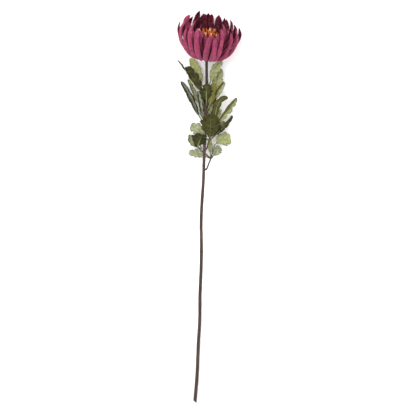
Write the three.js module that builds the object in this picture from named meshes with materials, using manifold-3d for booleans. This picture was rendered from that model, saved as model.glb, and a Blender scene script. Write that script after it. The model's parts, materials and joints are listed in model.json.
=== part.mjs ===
import * as THREE from 'three';
import { mergeVertices } from 'three/addons/utils/BufferGeometryUtils.js';
import Module from 'manifold-3d';

// A spider chrysanthemum, cut with a long stem and laid on its side.
// Millimetres, +Z up. The stem lies along +Y, from its cut end to the bloom, and the
// lowest petals, the leaf tips and the cut end rest on the plane z = 0.

const wasm = await Module();
wasm.setup();

// ---- driving dimensions ------------------------------------------------------------

const STEM_RADIUS_CUT = 3.4;
const STEM_RADIUS_NECK = 2.75;
const STEM_RINGS = 44;
const STEM_SIDES = 8;

const SHOOT_RADIUS = 1.5;
const TWIG_RADIUS = 1.15;

const BLOOM_CENTRE = [21.5, 671, 40.3]; // middle of the receptacle's base
const BLOOM_RISE_DEG = 20; // how far the bloom's axis points up from the surface
const BLOOM_LEAN_DEG = 7; // how far it leans towards +X

const RECEPTACLE_RADIUS = 10.5;
const RECEPTACLE_HEIGHT = 12;
const CALYX_DEPTH = 6.6;
const DISC_BASE_RADIUS = 6.5;
const DISC_TOP_RADIUS = 14;
const DISC_HEIGHT = 49;

const PETAL_HALF_WIDTH = 4.8;
const PETAL_HALF_THICKNESS = 2.1;
const PETAL_BASE_GAP = 0.6;
const PETAL_RINGS = 8;
const PETAL_SIDES = 6;

const LEAF_HALF_THICKNESS = 0.55;
const LEAF_STALK_RADIUS = 1.0;
const LEAF_RINGS = 9;
const LEAF_SIDES = 8;

const END_ROUNDING = 0.012; // share of a piece's length taken by each rounded end

// ---- colours and finishes ----------------------------------------------------------

const STEM_BARK = new THREE.MeshStandardMaterial({ color: '#5e4c45', roughness: 0.8, metalness: 0 });
const SHOOT_BARK = new THREE.MeshStandardMaterial({ color: '#6b4a50', roughness: 0.75, metalness: 0 });
const BRACT_GREEN = new THREE.MeshStandardMaterial({ color: '#56602f', roughness: 0.7, metalness: 0 });
const DISC_ORANGE = new THREE.MeshStandardMaterial({ color: '#c8641e', roughness: 0.7, metalness: 0 });
const OUTER_PINK = new THREE.MeshStandardMaterial({ color: '#b0477a', roughness: 0.6, metalness: 0 });
const MIDDLE_WINE = new THREE.MeshStandardMaterial({ color: '#8d2f56', roughness: 0.6, metalness: 0 });
const INNER_WINE = new THREE.MeshStandardMaterial({ color: '#6b1530', roughness: 0.6, metalness: 0 });
const LEAF_OLIVE = new THREE.MeshStandardMaterial({ color: '#4a5423', roughness: 0.6, metalness: 0 });
const LEAF_SAGE = new THREE.MeshStandardMaterial({ color: '#a8ae82', roughness: 0.7, metalness: 0 });

// ---- the stem and its shoots -------------------------------------------------------

// The stem's centre line, from the cut end to the neck, which bends up to the bloom.
const STEM_LINE = [
  [-2.2, -1, 3.5],
  [2.0, 49, 5.5],
  [4.6, 111, 8.0],
  [7.3, 158, 10.0],
  [7.8, 205, 12.0],
  [9.9, 260, 14.3],
  [10.6, 300, 16.1],
  [10.0, 345, 18.0],
  [11.6, 388, 19.8],
  [14.3, 427, 21.5],
  [15.6, 470, 23.3],
  [17.0, 505, 24.8],
  [19.8, 545, 26.5],
  [20.6, 585, 28.2],
  [20.9, 615, 29.6],
  [20.8, 640, 32.3],
  [20.7, 664, 37.9],
];

const LOWER_SHOOT_MAIN = [[19.7, 450, 22.2], [21.6, 454, 21.6], [25.2, 463, 19.9], [28.7, 472, 18.2]];
const LOWER_SHOOT_RIGHT = [[28.7, 472, 18.2], [31.6, 482, 18.6], [33.5, 493, 19.6]];
const LOWER_SHOOT_LEFT = [[28.7, 472, 18.2], [23.0, 478, 16.8], [16.0, 484, 15.6], [9.5, 489, 15.6]];
const UPPER_SHOOT = [[20.1, 489, 26.5], [23.6, 500, 29.8], [27.3, 513, 34.2], [29.2, 527, 38.2]];

// ---- leaves ------------------------------------------------------------------------

// Each leaf: its midrib from stalk to tip, the blade's half width, the roll of the blade
// about its midrib at the stalk and at the tip in degrees (0 is face up, 90 on edge),
// and the fold of its two halves (positive folds them up).
const LEAVES = [
  { line: [[16.9, 598, 29], [7.8, 614, 30], [-5.8, 630, 29], [-21.4, 644, 23], [-36, 664, 17]],
    halfWidth: 6.5, roll: [65, 75], fold: 0.1, face: LEAF_OLIVE },
  { line: [[17.2, 606, 26], [9.8, 620, 18], [1.5, 640, 13], [-4.5, 655, 11], [-9.5, 668, 10]],
    halfWidth: 10.5, roll: [0, 10], fold: 0.1, face: LEAF_SAGE },
  { line: [[17.4, 590, 32.6], [8, 606, 39], [-4.5, 626, 41], [-18.5, 650, 37]],
    halfWidth: 13, roll: [10, -15], fold: 0.15, face: LEAF_OLIVE },
  { line: [[16.3, 572, 24.8], [3.5, 583, 20], [-3.9, 601, 16], [-15.5, 626, 11]],
    halfWidth: 6.5, roll: [20, 30], fold: 0.2, face: LEAF_SAGE },
  { line: [[15.8, 541, 24], [5.8, 556, 17], [-1.9, 574, 9], [-14.6, 598, 4], [-29, 622, 1.5]],
    halfWidth: 8.5, roll: [-15, 15], fold: 0.1, face: LEAF_OLIVE },
  { line: [[17, 550, 30.5], [10.5, 562, 36], [6, 582, 40], [2.5, 603, 47]],
    halfWidth: 5.2, roll: [15, 30], fold: 0.25, face: LEAF_SAGE },
  { line: [[20.8, 577, 33], [20.5, 586, 41], [20, 600, 46], [22.5, 616, 47]],
    halfWidth: 13, roll: [0, -8], fold: -0.12, face: LEAF_OLIVE },
  { line: [[24.9, 612, 29.5], [28.2, 622, 29], [34, 638, 27], [41.5, 652, 25], [49.5, 664, 23]],
    halfWidth: 10, roll: [-20, -25], fold: 0.3, face: LEAF_SAGE },
  { line: [[23.6, 588, 26.5], [34, 599, 20], [39.5, 617, 15], [43.9, 634, 13], [47, 648, 12]],
    halfWidth: 11, roll: [5, -5], fold: 0.1, face: LEAF_SAGE },
  { line: [[23.8, 578, 28.2], [36, 593, 31.5], [45, 608, 32.5], [54.5, 621, 31.5]],
    halfWidth: 6.5, roll: [10, 15], fold: 0.2, face: LEAF_SAGE },
  { line: [[23.9, 568, 30.4], [28.5, 583, 36], [32, 600, 38], [34.5, 619, 39]],
    halfWidth: 9, roll: [15, 20], fold: 0.1, face: LEAF_OLIVE },
  { line: [[27.4, 535, 33.7], [28.5, 552, 29], [34, 573, 25], [41, 595, 23]],
    halfWidth: 8.5, roll: [-25, -20], fold: 0.2, face: LEAF_SAGE },
  { line: [[32.5, 532, 40.7], [37, 554, 48], [42.5, 577, 49], [50, 587, 47], [62, 591, 42]],
    halfWidth: 7, roll: [15, -10], fold: 0.2, face: LEAF_OLIVE },
  { line: [[32.9, 527, 37.4], [45.5, 549, 35], [56.5, 565, 26], [66.5, 579, 14], [77.5, 590, 2]],
    halfWidth: 8.5, roll: [35, 30], fold: 0.35, face: LEAF_SAGE },
  { line: [[31, 474.5, 15.8], [36, 481, 11], [41, 488, 7], [47, 495, 4.5]],
    halfWidth: 9, roll: [5, 0], fold: 0.1, face: LEAF_SAGE },
  { line: [[30.4, 511, 32.7], [42, 522, 28], [52.6, 533, 20], [62.4, 545, 10], [71, 556, 1.5]],
    halfWidth: 6, roll: [30, 30], fold: 0.2, face: LEAF_OLIVE },
  { line: [[24.6, 503, 34.6], [26.5, 512, 43], [28, 531, 52], [29.5, 557, 57]],
    halfWidth: 18.5, roll: [0, 5], fold: -0.1, face: LEAF_OLIVE },
  { line: [[24.3, 508, 34.4], [14, 519, 38], [3.5, 529, 38], [-10.5, 536, 34]],
    halfWidth: 12, roll: [10, 10], fold: 0.05, face: LEAF_SAGE },
  { line: [[7.6, 492, 17.2], [3.6, 496.5, 29.5], [7.5, 505.5, 41], [12, 518, 46.5]],
    halfWidth: 16.5, roll: [5, 20], fold: -0.12, face: LEAF_OLIVE },
  { line: [[7.2, 490.6, 14.2], [-1, 497, 10.5], [-8.5, 506, 7], [-10.7, 519, 3]],
    halfWidth: 9, roll: [10, 0], fold: 0.1, face: LEAF_SAGE },
  { line: [[24, 474.2, 14.8], [12, 480, 9], [0, 483, 3.6], [-14.5, 484, 1.2]],
    halfWidth: 8, roll: [-5, 0], fold: 0.1, face: LEAF_SAGE },
  { line: [[34.3, 495.5, 19.8], [38.5, 501, 17], [49, 508, 9], [67, 511, 2]],
    halfWidth: 14, roll: [5, 10], fold: 0.15, face: LEAF_SAGE },
];

// Blade half widths from its foot to its tip, as shares of the leaf's half width: two
// pairs of side lobes and an end lobe.
const BLADE_OUTLINE = [0.16, 0.55, 0.95, 0.7, 1.0, 0.72, 0.78, 0.3];
const STALK_SHARE = 0.2;

// ---- petals ------------------------------------------------------------------------

// Each petal: [azimuth, tip height, tip distance from the bloom's axis, sideways lean].
// Azimuth 0 points towards +X, 90 down to the surface, 180 towards -X, 270 up.
const OUTER_PETALS = [
  [8, 61, 62, 2], [25, 64, 53, 0], [42, 71, 52, 0], [61, 68, 55, 0], [80, 70, 57, -4],
  [98, 71, 57, 0], [120, 76, 57, 0], [140, 68, 52, 0], [159, 75, 53, 0], [179, 63, 64, 2],
  [197, 68, 60, 0], [216, 58, 60, 0], [234, 69, 61, -4], [251, 69, 56, -8], [268, 59, 54, 4],
  [285, 55, 54, -2], [303, 74, 56, -8], [322, 64, 53, 0], [343, 63, 56, 0],
];
const MIDDLE_PETALS = [
  [14, 60, 46, 0], [52, 64, 43, -4], [91, 72, 45, 0], [130, 68, 40, 0], [168, 62, 45, 0],
  [208, 76, 37, 4], [243, 60, 44, 4], [279, 55, 42, 0], [314, 78, 40, -4],
];
const INNER_PETALS = [
  [29, 54, 22, 0], [98, 62, 26, 0], [172, 54, 24, 0], [239, 50, 24, 0], [304, 49, 23, 0],
];

// The middle line of a petal in each ring, as [distance from the axis, height] from its
// foot to just below its tip.
const OUTER_LINE = [[0, 1], [25, 1], [38, 8], [48, 20], [54, 35], [58, 51]];
const MIDDLE_LINE = [[0, 5.2], [20, 8], [30, 16.5], [37, 29], [41, 43]];
const INNER_LINE = [[0, 9.2], [14.5, 17], [19, 28], [21, 39]];

// Petal half widths from foot to tip, as shares of the full half width.
const PETAL_OUTLINE = [0.28, 0.42, 0.72, 0.95, 1.0, 1.0, 0.92, 0.5];
const PETAL_DEPTHS = [0.4, 0.5, 0.7, 0.9, 1.0, 1.0, 0.9, 0.6];

// ---- shaping -----------------------------------------------------------------------

const vector = ([x, y, z]) => new THREE.Vector3(x, y, z);

/** The value at u (0 to 1) on the straight lines between evenly spaced values. */
function valueAt(values, u) {
  const place = THREE.MathUtils.clamp(u, 0, 1) * (values.length - 1);
  const step = Math.min(Math.floor(place), values.length - 2);
  return THREE.MathUtils.lerp(values[step], values[step + 1], place - step);
}

/**
 * A closed spindle, flattened and bent along a curve. halfWidth, halfDepth and side are
 * functions of u, the share of the curve's length; side gives the direction of the width.
 */
function bentSpindle({ curve, halfWidth, halfDepth, side, fold = 0, rings, sides }) {
  const profile = [new THREE.Vector2(0, 0)];
  for (let ring = 0; ring < rings; ring += 1) {
    const u = THREE.MathUtils.lerp(END_ROUNDING, 1 - END_ROUNDING, ring / (rings - 1));
    profile.push(new THREE.Vector2(1, u));
  }
  profile.push(new THREE.Vector2(0, 1));
  const geometry = new THREE.LatheGeometry(profile, sides);
  const position = geometry.attributes.position;
  for (let i = 0; i < position.count; i += 1) {
    const u = THREE.MathUtils.clamp(position.getY(i), 0, 1);
    const tangent = curve.getTangentAt(u);
    const across = side(u, tangent);
    const outward = across.clone().cross(tangent);
    const reach = position.getX(i) * halfWidth(u);
    const lift = position.getZ(i) * halfDepth(u) + fold * Math.abs(reach);
    const place = curve.getPointAt(u).addScaledVector(across, reach).addScaledVector(outward, lift);
    position.setXYZ(i, place.x, place.y, place.z);
  }
  geometry.computeVertexNormals();
  return geometry;
}

/** The direction across a blade whose midrib runs along tangent, turned by roll. */
function acrossBlade(tangent, rollDeg) {
  const across = tangent.clone().cross(new THREE.Vector3(0, 0, 1)).normalize();
  return across.applyAxisAngle(tangent, THREE.MathUtils.degToRad(rollDeg));
}

function round(line, radiusFrom, radiusTo, rings, sides) {
  const radius = (u) => THREE.MathUtils.lerp(radiusFrom, radiusTo, u);
  return bentSpindle({
    curve: new THREE.CatmullRomCurve3(line.map(vector), false, 'centripetal'),
    halfWidth: radius,
    halfDepth: radius,
    side: (u, tangent) => acrossBlade(tangent, 0),
    rings,
    sides,
  });
}

function named(name, geometry, material) {
  const mesh = new THREE.Mesh(geometry, material);
  mesh.name = name;
  return mesh;
}

// ---- joining solids ----------------------------------------------------------------

function solidOf(geometry) {
  const bare = geometry.clone();
  bare.deleteAttribute('normal');
  bare.deleteAttribute('uv');
  const merged = mergeVertices(bare, 1e-4);
  return new wasm.Manifold(new wasm.Mesh({
    numProp: 3,
    vertProperties: new Float32Array(merged.attributes.position.array),
    triVerts: new Uint32Array(merged.index.array),
  }));
}

function joined(geometries) {
  const solid = geometries.map(solidOf).reduce((sum, next) => sum.add(next));
  const mesh = solid.getMesh();
  const geometry = new THREE.BufferGeometry();
  geometry.setAttribute('position', new THREE.BufferAttribute(mesh.vertProperties, 3));
  geometry.setIndex(new THREE.BufferAttribute(mesh.triVerts, 1));
  geometry.computeVertexNormals();
  return geometry;
}

// ---- the pieces --------------------------------------------------------------------

function stem() {
  return named('stem', round(STEM_LINE, STEM_RADIUS_CUT, STEM_RADIUS_NECK, STEM_RINGS, STEM_SIDES), STEM_BARK);
}

function lowerShoot() {
  return named('side_shoot_lower', joined([
    round(LOWER_SHOOT_MAIN, SHOOT_RADIUS, SHOOT_RADIUS, 6, STEM_SIDES),
    round(LOWER_SHOOT_RIGHT, SHOOT_RADIUS, TWIG_RADIUS, 5, STEM_SIDES),
    round(LOWER_SHOOT_LEFT, SHOOT_RADIUS, TWIG_RADIUS, 6, STEM_SIDES),
  ]), SHOOT_BARK);
}

function upperShoot() {
  return named('side_shoot_upper', round(UPPER_SHOOT, SHOOT_RADIUS, TWIG_RADIUS, 8, STEM_SIDES), SHOOT_BARK);
}

function leaf(name, { line, halfWidth, roll, fold, face }) {
  const bladeShare = (u) => (u - STALK_SHARE) / (1 - STALK_SHARE);
  const onStalk = (u) => u < STALK_SHARE;
  const geometry = bentSpindle({
    curve: new THREE.CatmullRomCurve3(line.map(vector), false, 'centripetal'),
    halfWidth: (u) => (onStalk(u) ? LEAF_STALK_RADIUS : halfWidth * valueAt(BLADE_OUTLINE, bladeShare(u))),
    halfDepth: (u) => (onStalk(u) ? LEAF_STALK_RADIUS : LEAF_HALF_THICKNESS),
    side: (u, tangent) => acrossBlade(tangent, THREE.MathUtils.lerp(roll[0], roll[1], u)),
    fold,
    rings: LEAF_RINGS,
    sides: LEAF_SIDES,
  });
  return named(name, geometry, face);
}

function calyx() {
  const profile = [
    [0, -CALYX_DEPTH], [3.2, -CALYX_DEPTH], [7.5, -4.6], [RECEPTACLE_RADIUS, -1.6],
    [RECEPTACLE_RADIUS, 2.2], [RECEPTACLE_RADIUS - 1.2, 6.4], [RECEPTACLE_RADIUS - 2.6, 10.4],
    [DISC_BASE_RADIUS, RECEPTACLE_HEIGHT], [0, RECEPTACLE_HEIGHT],
  ].map(([radius, height]) => new THREE.Vector2(radius, height));
  const mesh = named('calyx', new THREE.LatheGeometry(profile, 16), BRACT_GREEN);
  mesh.rotation.x = Math.PI / 2;
  return mesh;
}

function discFlorets() {
  const foot = RECEPTACLE_HEIGHT + 0.4;
  const profile = [
    [0, foot], [DISC_BASE_RADIUS, foot], [9, 22], [12, 34], [DISC_TOP_RADIUS, 43],
    [9.5, DISC_HEIGHT - 1.2], [0, DISC_HEIGHT],
  ].map(([radius, height]) => new THREE.Vector2(radius, height));
  const mesh = named('disc_florets', new THREE.LatheGeometry(profile, 16), DISC_ORANGE);
  mesh.rotation.x = Math.PI / 2;
  return mesh;
}

/** The receptacle's radius at a height, where a petal's foot stands off by a small gap. */
function footDistance(height) {
  return RECEPTACLE_RADIUS + PETAL_BASE_GAP - Math.max(0, height - 2.2) * 0.3;
}

function petal(name, ringLine, widthShare, [azimuth, tipHeight, tipDistance, lean], material) {
  const [, footHeight] = ringLine[0];
  const heightShare = tipHeight / (ringLine.at(-1)[1] + 14);
  const spread = tipDistance - ringLine.at(-1)[0];
  const points = ringLine.map(([distance, height], i) => {
    const share = i / ringLine.length;
    const r = i === 0 ? footDistance(footHeight) : distance + spread * share ** 3;
    return [r, height === footHeight ? height : height * heightShare, lean * share ** 2];
  });
  points.push([tipDistance, tipHeight, lean]);
  const curve = new THREE.CatmullRomCurve3(points.map(([r, height, turn]) => {
    const angle = THREE.MathUtils.degToRad(turn);
    return new THREE.Vector3(r * Math.cos(angle), r * Math.sin(angle), height);
  }), false, 'centripetal');
  const sideways = new THREE.Vector3(0, 1, 0);
  const geometry = bentSpindle({
    curve,
    halfWidth: (u) => PETAL_HALF_WIDTH * widthShare * valueAt(PETAL_OUTLINE, u),
    halfDepth: (u) => PETAL_HALF_THICKNESS * widthShare * valueAt(PETAL_DEPTHS, u),
    side: (u, tangent) => sideways.clone().addScaledVector(tangent, -sideways.dot(tangent)).normalize(),
    rings: PETAL_RINGS,
    sides: PETAL_SIDES,
  });
  const mesh = named(name, geometry, material);
  mesh.rotation.z = THREE.MathUtils.degToRad(azimuth);
  return mesh;
}

function bloom() {
  const group = new THREE.Group();
  group.add(calyx(), discFlorets());
  const rings = [
    ['outer_petal', OUTER_LINE, 1, OUTER_PETALS, OUTER_PINK],
    ['middle_petal', MIDDLE_LINE, 0.95, MIDDLE_PETALS, MIDDLE_WINE],
    ['inner_petal', INNER_LINE, 0.75, INNER_PETALS, INNER_WINE],
  ];
  for (const [label, line, widthShare, petals, material] of rings) {
    petals.forEach((shape, i) => {
      const name = `${label}_${String(i + 1).padStart(2, '0')}`;
      group.add(petal(name, line, widthShare, shape, material));
    });
  }
  // The axis starts along +Z with azimuth 90 along +Y. It tips over to lie along +Y, rises
  // from the surface and leans sideways.
  group.rotation.order = 'ZXY';
  group.rotation.x = THREE.MathUtils.degToRad(BLOOM_RISE_DEG - 90);
  group.rotation.z = THREE.MathUtils.degToRad(-BLOOM_LEAN_DEG);
  group.position.set(...BLOOM_CENTRE);
  return group;
}

// ---- the flower --------------------------------------------------------------------

const flower = new THREE.Group();
flower.add(stem(), lowerShoot(), upperShoot());
LEAVES.forEach((shape, i) => flower.add(leaf(`leaf_${String(i + 1).padStart(2, '0')}`, shape)));
flower.add(bloom());

// The origin is the middle of the underside of the flower's box.
flower.updateMatrixWorld(true);
const box = new THREE.Box3().setFromObject(flower, true);
flower.position.set(-(box.min.x + box.max.x) / 2, -(box.min.y + box.max.y) / 2, -box.min.z);

export default flower;
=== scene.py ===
"""The finished surfaces of a cut spider chrysanthemum, built around its solid model.

Metres, +Z up. The flower lies on z = 0 with its stem along +Y and the bloom at the +Y end.
Every piece takes its place from the solid model: a petal, a leaf and the stem are each read
back as a spine of cross-sections, and the fine surface is drawn along that spine.
"""

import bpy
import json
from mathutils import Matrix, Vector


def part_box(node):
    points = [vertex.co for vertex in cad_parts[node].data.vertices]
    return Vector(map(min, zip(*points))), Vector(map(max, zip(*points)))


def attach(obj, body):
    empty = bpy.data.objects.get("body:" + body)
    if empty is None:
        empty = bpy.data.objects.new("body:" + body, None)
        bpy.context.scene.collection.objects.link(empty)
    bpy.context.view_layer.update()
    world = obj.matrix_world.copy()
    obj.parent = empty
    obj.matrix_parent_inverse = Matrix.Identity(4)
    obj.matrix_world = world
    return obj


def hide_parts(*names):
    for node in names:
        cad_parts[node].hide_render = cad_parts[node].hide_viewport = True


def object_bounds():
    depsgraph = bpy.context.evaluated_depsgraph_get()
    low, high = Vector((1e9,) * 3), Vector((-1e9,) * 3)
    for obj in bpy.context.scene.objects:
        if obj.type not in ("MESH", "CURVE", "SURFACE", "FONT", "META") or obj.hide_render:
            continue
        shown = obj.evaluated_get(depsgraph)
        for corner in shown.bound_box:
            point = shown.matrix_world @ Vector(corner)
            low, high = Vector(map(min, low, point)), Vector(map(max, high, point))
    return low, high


bl_info = {
    "name": "Spider Chrysanthemum",
    "version": (1, 0, 0),
    "blender": (4, 5, 0),
    "location": "3D View > Sidebar > Flower",
    "description": "Builds a cut spider chrysanthemum: stem, leaves, petals and florets",
    "category": "Add Mesh",
}

import json
import math
import random

import bpy
import numpy as np
from mathutils import Matrix, Vector, noise

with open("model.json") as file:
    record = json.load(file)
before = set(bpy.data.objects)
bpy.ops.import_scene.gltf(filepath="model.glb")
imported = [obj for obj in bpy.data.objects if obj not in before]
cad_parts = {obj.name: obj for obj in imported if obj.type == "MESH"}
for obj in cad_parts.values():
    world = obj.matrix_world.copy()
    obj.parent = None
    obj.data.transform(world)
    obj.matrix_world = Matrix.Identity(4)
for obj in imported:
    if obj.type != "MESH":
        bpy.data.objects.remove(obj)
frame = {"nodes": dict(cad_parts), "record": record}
CAD_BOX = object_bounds()

MM = 0.001
BODY = "root"
UP = np.array([0.0, 0.0, 1.0])
PRESS_HEIGHT = 2.5 * MM  # how far above the surface a petal or a leaf begins to flatten


# ---- colour and node helpers ----

def linear(hex_colour):
    """An sRGB hex colour as linear red, green and blue."""
    values = [int(hex_colour[i:i + 2], 16) / 255 for i in (1, 3, 5)]
    return tuple(v / 12.92 if v <= 0.04045 else ((v + 0.055) / 1.055) ** 2.4 for v in values)


def rgba(colour):
    """A colour as a socket takes it, from a hex value, linear values or another node."""
    if isinstance(colour, bpy.types.NodeSocket):
        return colour
    return (*(linear(colour) if isinstance(colour, str) else colour[:3]), 1.0)


def add(tree, kind, inputs=None, **settings):
    """A node of that kind, with its settings, its input values and its links."""
    node = tree.nodes.new(kind)
    for key, value in settings.items():
        setattr(node, key, value)
    for socket, value in (inputs or {}).items():
        if isinstance(value, bpy.types.NodeSocket):
            tree.links.new(value, node.inputs[socket])
        else:
            node.inputs[socket].default_value = value
    return node


def new_material(name):
    material = bpy.data.materials.new(name)
    material.use_nodes = True
    material.node_tree.nodes.clear()
    return material, material.node_tree


def paint(tree, colour, *layers):
    """Colours laid over one another. Each layer is (value, low, high, strength, colour), and
    covers more as its value goes from low to high, up to its strength."""
    for value, low, high, strength, over in layers:
        cover = add(tree, "ShaderNodeMapRange",
                    {"Value": value, "From Min": low, "From Max": high, "To Max": strength},
                    interpolation_type="SMOOTHSTEP")
        colour = add(tree, "ShaderNodeMix",
                     {0: cover.outputs["Result"], 6: rgba(colour), 7: rgba(over)},
                     data_type="RGBA").outputs[2]
    return colour


def finish(tree, colour, height, strength, depth, skin):
    """Ends a material: its colour, a fine relief depth millimetres deep and its skin."""
    bump = add(tree, "ShaderNodeBump",
               {"Height": height, "Strength": strength, "Distance": depth * MM})
    surface = add(tree, "ShaderNodeBsdfPrincipled",
                  {"Base Color": colour, "Normal": bump.outputs["Normal"], **skin})
    add(tree, "ShaderNodeOutputMaterial", {"Surface": surface.outputs["BSDF"]})


# ---- settings a user would change ----

def colour_setting(name, description, hex_colour):
    return bpy.props.FloatVectorProperty(
        name=name, description=description, subtype="COLOR", size=3, min=0, max=1,
        default=linear(hex_colour))


def length_setting(name, description, millimetres):
    return bpy.props.FloatProperty(
        name=name, description=description, subtype="DISTANCE", unit="LENGTH",
        min=0, default=millimetres * MM)


class StemSettings(bpy.types.PropertyGroup):
    skin: colour_setting("Skin", "Brown skin of the stem", "#41322B")
    streak: colour_setting("Streak", "Dark fibres in the skin", "#31241F")
    blush: colour_setting("Blush", "Purple tint among the leaves", "#4A3634")
    pith: colour_setting("Pith", "Pale inside of the slanted cut", "#C9BC98")
    rib_depth: length_setting("Rib depth", "Height of the ribs along the stem", 0.16)
    cut_slope: bpy.props.FloatProperty(
        name="Cut slope", description="Rise of the cut end across the stem", default=0.7)


class LeafSettings(bpy.types.PropertyGroup):
    top: colour_setting("Upper side", "Olive of the upper side", "#1E2006")
    top_light: colour_setting("Upper side, lit", "Lighter olive between veins", "#383812")
    under: colour_setting("Underside", "Pale sage of the underside", "#A6A780")
    under_deep: colour_setting("Underside, deep", "Deeper sage between veins", "#6A6E4C")
    margin: colour_setting("Margin", "Brown edge of an ageing leaf", "#47352C")
    thickness: length_setting("Blade thickness", "Thickness of a leaf's blade", 0.5)
    vein_relief: length_setting("Vein relief", "Height of the side veins", 0.22)


class PetalSettings(bpy.types.PropertyGroup):
    outside: colour_setting("Outside", "Mauve pink of a petal's outside", "#A63C62")
    outside_deep: colour_setting("Outside, deep", "Deep pink in the hollows", "#54122A")
    inside: colour_setting("Inside", "Wine red of a petal's inside", "#480C1E")
    inside_deep: colour_setting("Inside, deep", "Near black of the folds", "#1C050C")
    wall: length_setting("Wall", "Thickness of a petal", 0.7)


class HeartSettings(bpy.types.PropertyGroup):
    orange: colour_setting("Orange", "Orange of the disc florets", "#CC5A18")
    # The cream is a painted highlight on the tips of some florets.
    cream: colour_setting("Cream", "Cream of the open florets", "#F2D3A0")
    umber: colour_setting("Umber", "Red brown at the florets' feet", "#4A120C")
    bract: colour_setting("Bract", "Green of the bracts under the bloom", "#59612F")
    floret_count: bpy.props.IntProperty(
        name="Florets", description="Number of disc florets", default=110, min=1)
    bract_count: bpy.props.IntProperty(
        name="Bracts", description="Number of bracts under the bloom", default=42, min=1)


class StageSettings(bpy.types.PropertyGroup):
    floor: colour_setting("Floor", "Plain pale floor", "#FDFDFD")
    camera_height: length_setting("Camera height", "Camera's height over the floor", 9000)
    view_width: length_setting("View width", "Width of the camera's view at the flower", 811)


# ---- reading the solid model ----

def corner_points(node):
    """The corners of a CAD node, each one once, and its triangles between them."""
    mesh = frame["nodes"][node].data
    number, points, corner = {}, [], []
    for vertex in mesh.vertices:
        key = tuple(round(c, 6) for c in vertex.co)
        if key not in number:
            number[key] = len(points)
            points.append(vertex.co[:])
        corner.append(number[key])
    faces = [tuple(corner[i] for i in polygon.vertices) for polygon in mesh.polygons]
    return np.array(points), [face for face in faces if len(set(face)) == 3]


def layers_from(start, neighbours):
    """The corners in order of how many edges away from start they are."""
    layers, seen = [[start]], {start}
    while True:
        following = sorted({n for point in layers[-1] for n in neighbours[point]} - seen)
        if not following:
            return layers
        seen.update(following)
        layers.append(following)


def cross_sections(node, sides, foot_near):
    """A bent solid's cross-sections, each an array of corners, from the end near foot_near."""
    points, faces = corner_points(node)
    neighbours = [set() for _ in points]
    for face in faces:
        for corner in face:
            neighbours[corner].update(set(face) - {corner})
    found = []
    for start, around in enumerate(neighbours):
        if len(around) != sides:
            continue
        layers = layers_from(start, neighbours)
        if len(layers[-1]) == 1 and all(len(layer) == sides for layer in layers[1:-1]):
            found.append([points[layer] for layer in layers])
    if not found:
        raise RuntimeError(f"{node} isn't a bent solid of {sides} sides")
    return min(found, key=lambda sections: np.linalg.norm(sections[0][0] - foot_near))


def unit(vectors):
    return vectors / np.maximum(np.linalg.norm(vectors, axis=-1, keepdims=True), 1e-12)


def smooth_line(points, values, count):
    """A Catmull-Rom line through points, resampled evenly, with values carried along it."""
    data = np.hstack([points, values])
    padded = np.vstack([2 * data[0] - data[1], data, 2 * data[-1] - data[-2]])
    samples = []
    for i in range(1, len(padded) - 2):
        p0, p1, p2, p3 = padded[i - 1:i + 3]
        for t in np.linspace(0, 1, 12, endpoint=False):
            samples.append(0.5 * (2 * p1 + (p2 - p0) * t + (2 * p0 - 5 * p1 + 4 * p2 - p3) * t * t
                                  + (3 * p1 - p0 - 3 * p2 + p3) * t ** 3))
    samples = np.array(samples + [data[-1]])
    run = np.concatenate([[0], np.cumsum(np.linalg.norm(np.diff(samples[:, :3], axis=0), axis=1))])
    even = np.linspace(0, run[-1], count)
    return np.stack([np.interp(even, run, column) for column in samples.T], axis=1), run[-1]


class Spine:
    """The middle line of a piece with its across and outward directions and half width."""

    SAMPLES = 160

    def __init__(self, centres, across, half_width):
        values = np.hstack([across, half_width[:, None]])
        line, self.length = smooth_line(centres, values, self.SAMPLES)
        self.points = line[:, :3]
        self.tangents = unit(np.gradient(self.points, axis=0))
        across = line[:, 3:6]
        across -= self.tangents * np.sum(across * self.tangents, axis=1, keepdims=True)
        self.across = unit(across)
        self.outward = np.cross(self.across, self.tangents)
        self.half_width = line[:, 6]

    @classmethod
    def from_node(cls, node, sides, foot_near, outward_near):
        """Reads the node; its outward side is the one that faces the outward_near direction."""
        sections = cross_sections(node, sides, foot_near)
        centres = np.array([section.mean(axis=0) for section in sections])
        across, widths = [], []
        for section in sections[1:-1]:
            spread, axes = np.linalg.eigh(np.cov((section - section.mean(axis=0)).T, bias=True))
            direction = axes[:, 2]
            if across and direction @ across[-1] < 0:
                direction = -direction
            across.append(direction)
            widths.append(math.sqrt(2 * spread[2]))
        across = np.array([across[0], *across, across[-1]])
        widths = np.array([widths[0], *widths, widths[-1]])
        return cls(centres, across, widths).turned(outward_near)

    def turned(self, outward_near):
        """The spine, turned over where its middle doesn't face the outward_near direction."""
        middle = self.SAMPLES // 2
        if self.outward[middle] @ outward_near(self.points[middle]) < 0:
            self.across, self.outward = -self.across, -self.outward
        return self

    def at(self, u):
        """Point, across, tangent and outward directions at shares u of the length."""
        place = np.clip(u, 0, 1) * (self.SAMPLES - 1)
        steps = np.arange(self.SAMPLES)
        parts = []
        for source in (self.points, self.across, self.tangents, self.outward):
            columns = [np.interp(place, steps, column) for column in source.T]
            parts.append(np.stack(columns, axis=-1))
        return parts[0], unit(parts[1]), unit(parts[2]), unit(parts[3])

    def width_at(self, u):
        return np.interp(np.asarray(u, float) * (self.SAMPLES - 1), np.arange(self.SAMPLES),
                         self.half_width)


CALYX_DEPTH = 6.6  # mm of calyx below the petals' lowest feet


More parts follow.
